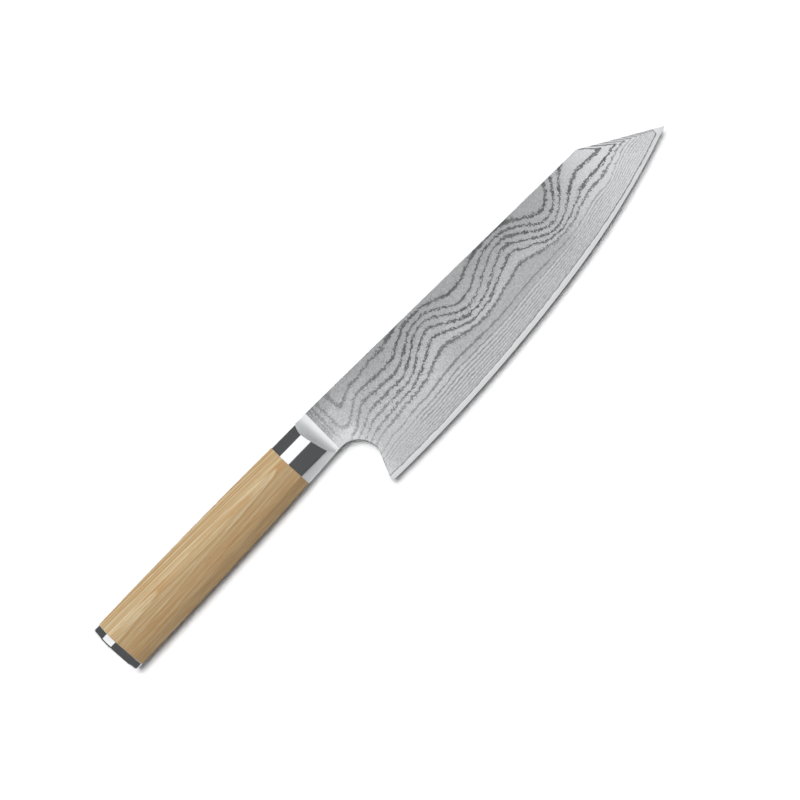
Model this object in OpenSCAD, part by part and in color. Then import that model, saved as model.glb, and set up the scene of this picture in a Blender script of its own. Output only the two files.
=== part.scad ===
// Kiritsuke knife: a laminated blade with a finger notch behind its heel, a scooped steel bolster,
// a D-shaped wooden handle and a steel end cap, held together by a bar through the handle.
//
// While it is drawn, +X runs along the spine to the tip, +Y points to the spine and +Z out of the
// right-hand face, with the origin on the spine, in the middle of the blade's thickness.
// The last step, in_part_frame(), moves the knife so that it lies on its flat left side.

/* [Blade outline] */
// Length from the heel to the tip
blade_l = 204; // [185:1:225]
// Height from the spine to the lowest point of the edge
blade_h = 50.3; // [47:0.1:54]
// Distance from the heel to where the edge runs parallel to the spine
edge_level = 2; // [2:0.5:12]
// Radius of the rear part of the cutting edge
rear_edge_r = 800; // [700:10:1000]
// Radius of the front part of the cutting edge
front_edge_r = 400; // [330:5:450]
// Distance from the heel to where the two edge radii meet
edge_split = 135; // [120:0.5:150]
// Angle between the spine and the straight cut down to the tip
tip_angle = 29.2; // [25:0.1:35]
// Distance from the bolster to where the finger notch starts
notch_start = 1.5; // [0.5:0.1:4]
// Radius of the finger notch behind the heel
notch_r = 11.2; // [9:0.1:12.5]
// Lean of the straight end of the heel, away from square to the spine
heel_lean = 23; // [15:1:30]
// Radius of the rounded heel corner
heel_r = 1.6; // [1:0.1:2.5]

/* [Blade section] */
// Thickness of the spine at the bolster
spine_t = 2.2; // [1.8:0.1:2.8]
// Thickness of the spine where the blade ends
tip_spine_t = 1.5; // [1.2:0.1:1.8]
// Thickness of the hard core layer
core_t = 0.77; // [0.7:0.01:1]
// Thickness of the blade just above the cutting bevel
bevel_t = 0.74; // [0.7:0.01:0.76]
// Width of the cutting bevel
bevel_w = 1.95; // [1.5:0.05:3]
// Width of the ground zone above the cutting bevel
grind_w = 17.3; // [14:0.1:22]

/* [Bolster] */
// Length of the bolster along the spine, from the wood to the end of its ramp
bolster_l = 21.7; // [19:0.1:26]
// Height of the bolster where it meets the blade
bolster_h = 22.5; // [21.5:0.1:24]
// Radius of the ramp at the spine
ramp_spine_r = 9.8; // [9:0.1:11]
// Radius of the ramp at the underside
ramp_under_r = 4.2; // [3.5:0.1:5]
// Height of the thin lip at the front end of the ramp, above the blade's face
ramp_lip = 0.15; // [0.1:0.01:0.3]

/* [Handle] */
// Length of the wood
wood_l = 112.9; // [100:0.1:130]
// Height of the handle where wood and bolster meet
front_h = 23.75; // [23:0.05:26]
// Height of the handle at the butt
butt_h = 26.8; // [24:0.1:30]
// Extra height half way along the wood
belly_h = 0.9; // [0:0.1:2]
// Droop of the handle's axis below the line of the spine
droop = 2.27; // [0:0.01:3]
// Thickness from the blade's middle to the flat left side
left_t = 8.2; // [7.5:0.1:9.5]
// Thickness from the blade's middle to the ridge line of the right side, at the wood's front
front_ridge_t = 9.3; // [8.5:0.1:10]
// The same thickness at the butt
butt_ridge_t = 10.6; // [9:0.1:12]

/* [Handle section] */
// Distance from the spine side down to the ridge line
ridge_drop = 7.6; // [7:0.1:8.5]
// Share of the height down to where the facet along the underside starts, at the wood's front
facet_place = 0.81; // [0.76:0.01:0.85]
// Thickness of the right side where it meets the spine side, as a share of the ridge's
spine_side_share = 0.42; // [0.38:0.01:0.55]
// Thickness of the right side where the facet starts, as a share of the ridge's
facet_share = 0.54; // [0.5:0.01:0.58]
// Thickness of the right side where the facet meets the underside, as a share of the ridge's
underside_share = 0.12; // [0.1:0.01:0.2]

/* [Handle section at the front end of the bolster] */
// Share of the height down to where the facet starts
lip_facet_place = 0.86; // [0.8:0.01:0.88]
// Thickness of the right side where the facet starts, as a share of the ridge's
lip_facet_share = 0.49; // [0.46:0.01:0.55]
// Thickness of the right side where the facet meets the underside, as a share of the ridge's
lip_underside_share = 0.1; // [0.06:0.01:0.16]

/* [Handle section at the butt] */
// Share of the height down to where the facet starts
butt_facet_place = 0.85; // [0.8:0.01:0.87]
// Thickness of the right side where it meets the spine side, as a share of the ridge's
butt_spine_side_share = 0.5; // [0.4:0.01:0.55]
// Thickness of the right side where the facet starts, as a share of the ridge's
butt_facet_share = 0.5; // [0.47:0.01:0.56]
// Thickness of the right side where the facet meets the underside, as a share of the ridge's
butt_underside_share = 0.23; // [0.12:0.01:0.26]

/* [Rounding of the handle section] */
// Rounding between the flat left side and the spine side or the underside
left_round = 6.5; // [5:0.1:7]
// Rounding between the right side and the spine side
spine_side_round = 1.2; // [1:0.1:4]
// Rounding between the right side and the underside
underside_round = 1.4; // [1.2:0.1:3]
// Rounding over the ridge line
ridge_round = 8; // [6:0.5:10]
// Rounding where the facet starts
facet_round = 4; // [3:0.5:7]

/* [End cap] */
// Thickness of the end cap
cap_t = 4.5; // [3.5:0.1:6]
// Rounding of the end cap's outer edge
cap_round = 1.5; // [1:0.1:2]
// Length of the spigot inside the counterbore
spigot_l = 3; // [2:0.1:4]

/* [Tang and its fastening] */
// Depth that the blade's stub reaches into the bolster
stub_l = 15.3; // [10:0.1:17]
// Wall of the bolster above and below the stub
stub_wall = 1.2; // [0.8:0.1:2]
// Height of the tang bar
bar_h = 8; // [6:0.1:9]
// Thickness of the tang bar
bar_t = 5; // [5:0.1:6]
// Radius of the bore through the wood
bore_r = 5.5; // [5.3:0.1:6]
// Radius of the bar's threaded end and of the nut's bore
thread_r = 2.5; // [2:0.5:2.5]
// Length of the threaded end in front of the washer
thread_run = 10; // [5:1:20]
// Radius of the counterbore in the butt end of the wood
counterbore_r = 7; // [6.6:0.1:8]
// Depth of the counterbore
counterbore_l = 11; // [10.8:0.1:14]
// Thickness of the washer
washer_t = 1.2; // [0.8:0.1:1.4]
// Radial clearance of the washer, on the thread and in the counterbore
washer_gap = 0.3; // [0.2:0.05:0.5]
// Width of the nut across its flats
nut_w = 8; // [7.5:0.1:9]
// Height of the nut
nut_t = 4; // [3.5:0.1:4.7]
// Length of thread that stands out of the nut
thread_end = 1; // [0.5:0.1:1]

/* [Hidden] */

// Steps of one rounded corner of the handle's section
corner_steps = 9;
// Rings along the wood, and along the rounded edge of the end cap
wood_steps = 8;
cap_steps = 5;
// Steps of the rounded heel corner, and of the finger notch
heel_steps = 6;
notch_steps = 24;
// Facets of a full turn, for small round pieces and for the long sweep of the cutting edge
turn = 96;
edge_turn = 2880;
// Reach of a cutting solid past the surface that it cuts
over = 1;

// Ramp and bolster: the bolster ends at x = 0 with its lip, and the wood starts behind it
wood_x = -bolster_l;
stub_x = -stub_l;
ramp_z = spine_t / 2 + ramp_lip;

// Finger notch: an arc that leaves the underside of the bolster square on, then a straight heel
notch_centre = [notch_start, -bolster_h - notch_r];
notch_end = notch_centre + notch_r * [cos(heel_lean), -sin(heel_lean)];
heel_x = notch_end.x - (notch_end.y + blade_h) * tan(heel_lean);
// The corner's arc dips just under the edge, so that the two cross cleanly
heel_sink = 0.1;
heel_centre = [heel_x + heel_r / cos(heel_lean) + (heel_r - heel_sink) * tan(heel_lean),
               -blade_h + heel_r - heel_sink];

// Cutting edge: at the split, the front arc takes over from the rear one. It crosses it at an angle
// too small to see, because solids that only touch along a line don't cut each other cleanly.
arc_crossing = 0.4;
level_x = heel_x + edge_level;
split_a = asin((edge_split - edge_level) / rear_edge_r);
front_a = split_a + arc_crossing;
rear_centre = [level_x, rear_edge_r - blade_h];
split_point = rear_centre + rear_edge_r * [sin(split_a), -cos(split_a)];
front_centre = split_point - front_edge_r * [sin(front_a), -cos(front_a)];
tip_x = heel_x + blade_l;
tip_y = front_centre.y - sqrt(pow(front_edge_r, 2) - pow(tip_x - front_centre.x, 2));
shoulder_x = tip_x + tip_y / tan(tip_angle);

// Ground sides: half thickness at a distance from the edge
grind_slope = (spine_t - bevel_t) / 2 / grind_w;
function ground_t(from_edge) = bevel_t / 2 + grind_slope * (from_edge - bevel_w);
tip_over = grind_w / 4;
grind_depth = blade_h + 2 * tip_over;
grind_box_t = 2 * ground_t(grind_depth) + over;
rear_start = -asin((level_x - stub_x + over) / (rear_edge_r - grind_depth));
rear_end = asin((tip_x + tip_over - rear_centre.x) / (rear_edge_r - grind_depth));
front_end = asin((tip_x + tip_over - front_centre.x) / (front_edge_r - grind_depth));
bound_a = 1.5 * arc_crossing;
// Half thickness between the flat sides, at a place along the spine
function side_t(x) = (spine_t - (spine_t - tip_spine_t) * max(x, 0) / tip_x) / 2;

function arc(centre, r, from, to, steps) =
    [for (i = [0:steps]) let (a = from + (to - from) * i / steps) centre + r * [cos(a), sin(a)]];
past_tip = [tip_x, tip_y] + tip_over * [cos(tip_angle), -sin(tip_angle)];
under_edge = -blade_h - over;
stub_top = -stub_wall;
stub_bottom = -bolster_h + stub_wall;
// Outline down to the edge, where the ground sides end the blade instead
blade_outline = concat(
    [[0, 0], [shoulder_x, 0], past_tip, [past_tip.x, under_edge], [heel_centre.x, under_edge]],
    arc(heel_centre, heel_r, 270, 180 - heel_lean, heel_steps),
    arc(notch_centre, notch_r, -heel_lean, 90, notch_steps),
    [[0, -bolster_h], [0, stub_bottom], [stub_x, stub_bottom], [stub_x, stub_top], [0, stub_top]]
);

// Handle frame: its origin is the middle of the joint between bolster and wood
wood_y = -(front_h / 2) - bolster_l * tan(droop) / 2;
function wood_h(share) = front_h + (butt_h - front_h) * share + 4 * belly_h * share * (1 - share);
function ridge_t(share) = front_ridge_t + (butt_ridge_t - front_ridge_t) * share;
floor_l = wood_l - counterbore_l;
thread_l = floor_l - thread_run;
thread_tip_l = floor_l + washer_t + nut_t + thread_end;

// Shape of the right side at three places along the handle: the facet's place, and the thickness at
// the spine side, at the facet's start and at the underside
lip_shape = [lip_facet_place, spine_side_share, lip_facet_share, lip_underside_share];
joint_shape = [facet_place, spine_side_share, facet_share, underside_share];
butt_shape = [butt_facet_place, butt_spine_side_share, butt_facet_share, butt_underside_share];
function shape_at(share) = joint_shape + (butt_shape - joint_shape) * share;

// Corners of the handle's section as [y, z, radius], with y from the middle of its height and z
// from the middle of the blade's thickness. The whole section can be drawn in by a distance.
function section_corners(high, ridge, shape, in) =
    let (top = high / 2 - in, right = ridge - in, left = left_t - in)
    [
        [top, -left, left_round - in],
        [top, shape[1] * right, spine_side_round - in / 2],
        [high / 2 - ridge_drop, right, ridge_round],
        [top * (1 - 2 * shape[0]), shape[2] * right, facet_round],
        [-top, shape[3] * right, underside_round - in / 2],
        [-top, -left, left_round - in]
    ];

function unit(v) = v / norm(v);
// Points of the arc that rounds corner b of the corners a, b, c, where b is [y, z, radius]
function rounded_corner(a, b, c) =
    let (
        p = [b.x, b.y],
        to_a = unit([a.x, a.y] - p),
        to_c = unit([c.x, c.y] - p),
        half = acos(to_a * to_c) / 2,
        centre = p + unit(to_a + to_c) * b.z / sin(half),
        first = p + to_a * b.z / tan(half) - centre,
        last = p + to_c * b.z / tan(half) - centre,
        start = atan2(first.y, first.x),
        swing = atan2(last.y, last.x) - start,
        sweep = swing > 180 ? swing - 360 : swing < -180 ? swing + 360 : swing
    )
    arc(centre, b.z, start, start + sweep, corner_steps);
function section(high, ridge, shape, in = 0) =
    let (c = section_corners(high, ridge, shape, in), n = len(c))
    [for (i = [0:n - 1]) each rounded_corner(c[(i + n - 1) % n], c[i], c[(i + 1) % n])];

// A ring of 3-D points: the section at a distance back from the joint, in the handle frame
function ring(back, high, ridge, shape, in = 0) =
    [for (p = section(high, ridge, shape, in)) [-back, p.x, p.y]];
// The same point in the frame of the spine
function to_spine_frame(p) = [
    wood_x + p.x * cos(droop) - p.y * sin(droop),
    wood_y + p.x * sin(droop) + p.y * cos(droop),
    p.z
];

// Rings of the wood, and of the bolster in the frame of the spine
wood_rings = [for (k = [0:wood_steps]) let (share = k / wood_steps)
    ring(wood_l * share, wood_h(share), ridge_t(share), shape_at(share))];
bolster_front_ring = [for (p = section(bolster_h, front_ridge_t, lip_shape))
    [0, p.x - bolster_h / 2, p.y]];
bolster_back_ring = [for (p = ring(0, front_h, front_ridge_t, joint_shape)) to_spine_frame(p)];

// Rounded edge of the end cap: how far each ring lies back and inwards
function cap_ring(i) = let (a = 90 * i / cap_steps, back = wood_l + cap_t - cap_round * (1 - sin(a)))
    ring(back, butt_h, butt_ridge_t, butt_shape, cap_round * (1 - cos(a)));
cap_rings = [ring(wood_l, butt_h, butt_ridge_t, butt_shape), for (i = [0:cap_steps]) cap_ring(i)];
butt_x = min([for (r = cap_rings, p = r) to_spine_frame(p).x]);

module in_part_frame() {
    translate([-(butt_x + tip_x) / 2, blade_h / 2, left_t]) children();
}

module in_handle_frame() {
    translate([wood_x, wood_y, 0]) rotate([0, 0, droop]) children();
}

// Places a solid of revolution, drawn along +Z, along the handle from a distance behind the joint
module along_handle(back) {
    in_handle_frame() translate([-back, 0, 0]) rotate([0, -90, 0]) children();
}

// Closed skin through rings of equal point count, with flat ends
module loft(rings) {
    n = len(rings[0]);
    last = (len(rings) - 1) * n;
    points = [for (r = rings) each r];
    sides = [for (k = [0:len(rings) - 2], i = [0:n - 1])
        let (a = k * n + i, b = k * n + (i + 1) % n)
        each [[a, b, b + n], [a, b + n, a + n]]];
    front = [[for (i = [n - 1:-1:0]) i]];
    back = [[for (i = [0:n - 1]) last + i]];
    polyhedron(points, concat(sides, front, back), convexity = 4);
}

// One sector of the blade's ground sides: a wedge that turns about the centre of an edge arc,
// between two angles from straight down
module ground_sector(centre, r, from, to) {
    translate(centre) rotate([0, 0, from - 90]) rotate_extrude(angle = to - from, $fn = edge_turn)
        polygon([
            [r, 0],
            [r - bevel_w, bevel_t / 2],
            [r - grind_depth, ground_t(grind_depth)],
            [r - grind_depth, -ground_t(grind_depth)],
            [r - bevel_w, -bevel_t / 2]
        ]);
}

// Both ground sides: the rear wedge reaches to the tip, and the front one bounds it from just behind
// the split, where it still lies outside the rear one
module ground_sides() {
    intersection() {
        ground_sector(rear_centre, rear_edge_r, rear_start, rear_end);
        union() {
            ground_sector(front_centre, front_edge_r, front_a - 2 * bound_a, front_end);
            translate(front_centre) rotate([0, 0, front_a - bound_a])
                translate([-blade_l, -front_edge_r - over, -grind_box_t / 2])
                    cube([blade_l, grind_depth + 2 * over, grind_box_t]);
        }
    }
}

module flat_sides() {
    x0 = stub_x - over;
    x1 = past_tip.x + over;
    translate([0, over, 0]) rotate([90, 0, 0]) linear_extrude(height = blade_h + 4 * over)
        polygon([
            [x0, side_t(x0)], [0, side_t(0)], [x1, side_t(x1)],
            [x1, -side_t(x1)], [0, -side_t(0)], [x0, -side_t(x0)]
        ]);
}

// The whole blade, before it is divided into its layers
module blade_blank() {
    intersection() {
        linear_extrude(height = 2 * spine_t, center = true) polygon(blade_outline);
        flat_sides();
        ground_sides();
    }
}

// The part of the blade between two heights across its thickness
module blade_layer(low, high) {
    in_part_frame() intersection() {
        blade_blank();
        translate([stub_x - over, -blade_h - 2 * over, low])
            cube([past_tip.x - stub_x + 2 * over, blade_h + 3 * over, high - low]);
    }
}

module blade_core() {
    color("gainsboro") blade_layer(-core_t / 2, core_t / 2);
}

module cladding_right() {
    color("silver") blade_layer(core_t / 2, spine_t);
}

module cladding_left() {
    color("silver") blade_layer(-spine_t, -core_t / 2);
}

// Hollow of the ramp on the right side: a cone whose lowest line lies along the bolster's lip
module ramp_hollow() {
    narrowing = asin((ramp_spine_r - ramp_under_r) / bolster_h);
    length = bolster_h + 2 * over;
    wide_r = ramp_spine_r + over * sin(narrowing);
    narrow_r = wide_r - length * sin(narrowing);
    translate([0, over, ramp_z]) rotate([90 + narrowing, 0, 0]) translate([0, wide_r, 0])
        cylinder(h = length * cos(narrowing), r1 = wide_r, r2 = narrow_r, $fn = turn);
}

module bolster() {
    color("silver") in_part_frame() difference() {
        loft([bolster_front_ring, bolster_back_ring]);
        ramp_hollow();
        mirror([0, 0, 1]) ramp_hollow();
        translate([stub_x, stub_bottom, -spine_t / 2])
            cube([stub_l + over, stub_top - stub_bottom, spine_t]);
        flat_bar();
    }
}

// The flat length of the tang bar, with its front end square to the blade's stub
module flat_bar() {
    intersection() {
        in_handle_frame() translate([-thread_l, -bar_h / 2, -bar_t / 2])
            cube([thread_l + bolster_l, bar_h, bar_t]);
        translate([stub_x - 2 * wood_l, -2 * front_h, -bar_t])
            cube([2 * wood_l, 3 * front_h, 2 * bar_t]);
    }
}

module tang_bar() {
    color("darkgray") in_part_frame() {
        flat_bar();
        along_handle(thread_l) cylinder(h = thread_tip_l - thread_l, r = thread_r, $fn = turn);
    }
}

module handle() {
    color("burlywood") in_part_frame() difference() {
        in_handle_frame() loft(wood_rings);
        along_handle(-over) cylinder(h = floor_l + 2 * over, r = bore_r, $fn = turn);
        along_handle(floor_l) cylinder(h = counterbore_l + over, r = counterbore_r, $fn = turn);
    }
}

module tang_adhesive() {
    color("khaki") in_part_frame() difference() {
        along_handle(0) cylinder(h = floor_l, r = bore_r, $fn = turn);
        flat_bar();
        along_handle(thread_l - over) cylinder(h = thread_run + 2 * over, r = thread_r, $fn = turn);
    }
}

module tang_washer() {
    color("gray") in_part_frame() along_handle(floor_l) difference() {
        cylinder(h = washer_t, r = counterbore_r - washer_gap, $fn = turn);
        translate([0, 0, -over]) cylinder(h = washer_t + 2 * over, r = thread_r + washer_gap, $fn = turn);
    }
}

module tang_nut() {
    color("dimgray") in_part_frame() along_handle(floor_l + washer_t) difference() {
        cylinder(h = nut_t, r = nut_w / 2 / cos(30), $fn = 6);
        translate([0, 0, -over]) cylinder(h = nut_t + 2 * over, r = thread_r, $fn = turn);
    }
}

module end_cap() {
    color("silver") in_part_frame() {
        in_handle_frame() loft(cap_rings);
        along_handle(wood_l - spigot_l)
            cylinder(h = spigot_l + cap_t / 2, r = counterbore_r, $fn = turn);
    }
}

blade_core();
cladding_right();
cladding_left();
bolster();
handle();
end_cap();
tang_bar();
tang_adhesive();
tang_washer();
tang_nut();
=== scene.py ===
import math
from types import SimpleNamespace

import bpy
import bmesh
import numpy as np
from mathutils import Matrix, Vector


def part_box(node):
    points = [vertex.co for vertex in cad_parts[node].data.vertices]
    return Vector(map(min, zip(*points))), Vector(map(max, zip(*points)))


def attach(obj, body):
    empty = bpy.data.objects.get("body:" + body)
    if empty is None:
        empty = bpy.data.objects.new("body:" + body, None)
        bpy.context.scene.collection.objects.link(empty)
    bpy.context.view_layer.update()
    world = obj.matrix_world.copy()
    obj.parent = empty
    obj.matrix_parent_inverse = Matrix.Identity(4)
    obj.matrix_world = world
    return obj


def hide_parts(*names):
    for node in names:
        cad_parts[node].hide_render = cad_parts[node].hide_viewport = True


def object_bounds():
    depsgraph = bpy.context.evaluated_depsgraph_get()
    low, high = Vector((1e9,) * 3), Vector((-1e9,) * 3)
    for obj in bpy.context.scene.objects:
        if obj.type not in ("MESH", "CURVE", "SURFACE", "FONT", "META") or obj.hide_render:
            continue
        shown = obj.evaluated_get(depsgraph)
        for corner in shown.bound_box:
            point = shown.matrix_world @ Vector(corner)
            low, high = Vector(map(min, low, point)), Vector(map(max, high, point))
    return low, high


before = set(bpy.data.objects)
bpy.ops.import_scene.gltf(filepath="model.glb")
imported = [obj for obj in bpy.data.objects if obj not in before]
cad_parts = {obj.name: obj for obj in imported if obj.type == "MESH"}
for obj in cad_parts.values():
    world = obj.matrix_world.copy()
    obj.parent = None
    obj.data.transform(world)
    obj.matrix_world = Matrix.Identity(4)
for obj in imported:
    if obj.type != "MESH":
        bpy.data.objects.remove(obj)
CAD_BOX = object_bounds()

MM = 0.001

# Datum and main sizes, read from the frame
BOLSTER_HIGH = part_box("bolster")[1]
CORE_LOW, CORE_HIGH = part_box("blade_core")
ORIGIN = np.array([BOLSTER_HIGH.x, CORE_HIGH.y, (CORE_LOW.z + CORE_HIGH.z) / 2])
TIP_X = (CORE_HIGH.x - BOLSTER_HIGH.x) / MM
BLADE_H = (CORE_HIGH.y - CORE_LOW.y) / MM
CORE_T = (CORE_HIGH.z - CORE_LOW.z) / MM
LEFT_T = ORIGIN[2] / MM

# Blade outline, as in the CAD source
BLADE_L = 204.0
HEEL_X = TIP_X - BLADE_L
EDGE_LEVEL = 2.0
REAR_R = 800.0
FRONT_R = 400.0
EDGE_SPLIT = 135.0
ARC_CROSSING = math.radians(0.4)
TIP_ANGLE = math.radians(29.2)
NOTCH_START = 1.5
NOTCH_R = 11.2
HEEL_LEAN = math.radians(23)
HEEL_R = 1.6
HEEL_SINK = 0.1

# Blade section
SPINE_T = 2.2
TIP_SPINE_T = 1.5
BEVEL_T = 0.74
BEVEL_W = 1.95
GRIND_W = 17.3

# Bolster
BOLSTER_L = 21.7
BOLSTER_H = 22.5
RAMP_SPINE_R = 9.8
RAMP_UNDER_R = 4.2
RAMP_LIP = 0.15

# Handle
WOOD_L = 112.9
FRONT_H = 23.75
BUTT_H = 26.8
BELLY_H = 0.9
DROOP = math.radians(2.27)
FRONT_RIDGE_T = 9.3
BUTT_RIDGE_T = 10.6
RIDGE_DROP = 7.6
LEFT_ROUND = 6.5
SPINE_SIDE_ROUND = 1.2
UNDERSIDE_ROUND = 1.4
RIDGE_ROUND = 8.0
FACET_ROUND = 4.0
# Shape of the right side at three places: the share of the height down to where the facet starts, and
# the thickness at the spine side, at the facet's start and at the underside as shares of the ridge's
LIP_SHAPE = np.array([0.86, 0.42, 0.49, 0.10])
JOINT_SHAPE = np.array([0.81, 0.42, 0.54, 0.12])
BUTT_SHAPE = np.array([0.85, 0.50, 0.50, 0.23])

# Inside of the wood, and the end cap
BORE_R = 5.5
COUNTERBORE_R = 7.0
COUNTERBORE_L = 11.0
CAP_T = 4.5
CAP_ROUND = 1.5
SPIGOT_L = 3.0

# Fine details that only the visual pieces have: eased edges, on the blade by no more than a share of
# the cladding, the crown of the cap's end face, the soft start of the grind, and a slight thinning
# along the straight cut at the tip
EASE = 0.16
EASE_SHARE = 0.6
JOINT_EASE = 0.12
CAP_CROWN = 0.25
GRIND_BLEND = 0.03
CUT_THIN_W = 1.9
CUT_THIN_SHARE = 0.16

# Fineness of the blade's meshes: millimetres between rows, columns along them, the share at which the
# second column lies, and distances of the core's last rows from the edge
CLAD_STEP = 0.6
CLAD_COLUMNS = 300
CORE_STEP = 1.7
CORE_COLUMNS = 250
SECOND_COLUMN = 0.001
EDGE_ROWS = (BEVEL_W, 1.3, 0.7, 0.3, 0.0)
# Fineness of the handle's meshes: points round it, steps of a rounded corner, points between two of
# the outline's, millimetres between the wood's rings, and rings of the collar, ramp and cap's edge
SECTION_POINTS = 300
CORNER_STEPS = 28
SIDE_STEPS = 60
WOOD_STEP = 2
COLLAR_RINGS = 22
SECOND_COLLAR_RING = 0.04
RAMP_RINGS = 24
CAP_EDGE_RINGS = 10
# Steps of a search by halving
HALVINGS = 60
# Edges sharper than this aren't shaded smooth
SHARP = math.radians(30)

# Derived places of the blade's outline
NOTCH_CENTRE = (NOTCH_START, -BOLSTER_H - NOTCH_R)
NOTCH_END_Y = NOTCH_CENTRE[1] - NOTCH_R * math.sin(HEEL_LEAN)
HEEL_CENTRE = (
    HEEL_X + HEEL_R / math.cos(HEEL_LEAN) + (HEEL_R - HEEL_SINK) * math.tan(HEEL_LEAN),
    HEEL_R - HEEL_SINK - BLADE_H,
)
HEEL_ARC_TOP = HEEL_CENTRE[1] + HEEL_R * math.sin(HEEL_LEAN)
REAR_CENTRE = (HEEL_X + EDGE_LEVEL, REAR_R - BLADE_H)
SPLIT_A = math.asin((EDGE_SPLIT - EDGE_LEVEL) / REAR_R)
FRONT_A = SPLIT_A + ARC_CROSSING
SPLIT_X = REAR_CENTRE[0] + REAR_R * math.sin(SPLIT_A)
SPLIT_Y = REAR_CENTRE[1] - REAR_R * math.cos(SPLIT_A)
FRONT_CENTRE = (SPLIT_X - FRONT_R * math.sin(FRONT_A), SPLIT_Y + FRONT_R * math.cos(FRONT_A))
BOUND_X = SPLIT_X - FRONT_R * 1.5 * ARC_CROSSING
TIP_Y = FRONT_CENTRE[1] - math.sqrt(FRONT_R**2 - (TIP_X - FRONT_CENTRE[0]) ** 2)
SHOULDER_X = TIP_X + TIP_Y / math.tan(TIP_ANGLE)
GRIND_SLOPE = (SPINE_T - BEVEL_T) / 2 / GRIND_W
CORE_D = BEVEL_W + (CORE_T - BEVEL_T) / 2 / GRIND_SLOPE

# Derived places of the handle and of the cone that hollows the bolster
WOOD_X = -BOLSTER_L
WOOD_Y = -FRONT_H / 2 - BOLSTER_L * math.tan(DROOP) / 2
RAMP_Z = SPINE_T / 2 + RAMP_LIP
RAMP_NARROWING = math.asin((RAMP_SPINE_R - RAMP_UNDER_R) / BOLSTER_H)


# Small helpers


def place(points):
    """Points in the frame of the spine, in millimetres, as metres in the part's own frame."""
    return np.asarray(points, float) * MM + ORIGIN


def from_place(points):
    """The way back."""
    return (np.asarray(points, float) - ORIGIN) / MM


def to_spine_frame(points):
    """Points of the handle's frame, whose origin is the middle of the joint, in the spine's."""
    p = np.asarray(points, float)
    c = math.cos(DROOP)
    s = math.sin(DROOP)
    return np.stack(
        [WOOD_X + p[..., 0] * c - p[..., 1] * s, WOOD_Y + p[..., 0] * s + p[..., 1] * c, p[..., 2]],
        axis=-1,
    )


def smooth_step(value, low, high):
    t = np.clip((value - low) / (high - low), 0, 1)
    return t * t * (3 - 2 * t)


def smooth_min(a, b, width):
    share = np.clip(0.5 + 0.5 * (b - a) / width, 0, 1)
    return b + (a - b) * share - width * share * (1 - share)


def smooth_max(a, b, width):
    return -smooth_min(-a, -b, width)


def crossing(f, low, high):
    """Where f, rising or falling from low to high, crosses zero."""
    sign = f(low) > 0
    for _ in range(HALVINGS):
        middle = (low + high) / 2
        if (f(middle) > 0) == sign:
            low = middle
        else:
            high = middle
    return (low + high) / 2


# Blade: outline and thickness


def edge_y(x, inset=0.0):
    """Height of the line that runs a distance inside the cutting edge."""
    x = np.asarray(x, float)
    rear = REAR_CENTRE[1] - np.sqrt((REAR_R - inset) ** 2 - (x - REAR_CENTRE[0]) ** 2)
    front = FRONT_CENTRE[1] - np.sqrt((FRONT_R - inset) ** 2 - (x - FRONT_CENTRE[0]) ** 2)
    return np.where(x < BOUND_X, rear, np.maximum(rear, front))


def from_edge(x, y):
    """Distance of a point from the cutting edge."""
    rear = REAR_R - np.hypot(x - REAR_CENTRE[0], y - REAR_CENTRE[1])
    front = FRONT_R - np.hypot(x - FRONT_CENTRE[0], y - FRONT_CENTRE[1])
    return np.where(x < BOUND_X, rear, np.minimum(rear, front))


def top_y(x):
    """Height of the spine, and past the shoulder of the straight cut down to the tip."""
    return -np.maximum(np.asarray(x, float) - SHOULDER_X, 0) * math.tan(TIP_ANGLE)


def from_cut(x, y):
    """Distance of a point from the straight cut at the tip."""
    return -(y + (x - SHOULDER_X) * math.tan(TIP_ANGLE)) * math.cos(TIP_ANGLE)


def left_x(y):
    """Left end of the blade at a height: bolster, finger notch, heel and corner."""
    y = np.asarray(y, float)
    notch = NOTCH_START + np.sqrt(np.maximum(NOTCH_R**2 - (y - NOTCH_CENTRE[1]) ** 2, 0))
    heel = HEEL_X + (y + BLADE_H) * math.tan(HEEL_LEAN)
    corner = HEEL_CENTRE[0] - np.sqrt(np.maximum(HEEL_R**2 - (y - HEEL_CENTRE[1]) ** 2, 0))
    lower = np.where(y > HEEL_ARC_TOP, heel, corner)
    return np.where(y >= -BOLSTER_H, 0, np.where(y > NOTCH_END_Y, notch, lower))


def half_t(x, y):
    """Half thickness of the blade, with the ground zone running softly into the flat sides."""
    side = (SPINE_T - (SPINE_T - TIP_SPINE_T) * np.maximum(x, 0) / TIP_X) / 2
    d = from_edge(x, y)
    ground = BEVEL_T / 2 + GRIND_SLOPE * (d - BEVEL_W)
    bevel = BEVEL_T / 2 * np.maximum(d, 0) / BEVEL_W
    thick = np.where(d < BEVEL_W, bevel, smooth_min(side, ground, GRIND_BLEND))
    near_cut = np.clip(1 - from_cut(x, y) / CUT_THIN_W, 0, 1) ** 2
    cladding = np.maximum(thick - CORE_T / 2, 0)
    return thick - cladding * CUT_THIN_SHARE * near_cut


def row_ends(inset):
    """Left and right end of the line that runs a distance inside the edge."""
    start = float(left_x(inset - BLADE_H))
    if inset == 0:
        return start, TIP_X
    return start, crossing(lambda x: float(top_y(x) - edge_y(x, inset)), SHOULDER_X, TIP_X + 1)


CLAD_END_X = row_ends(CORE_D)[1]


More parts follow.
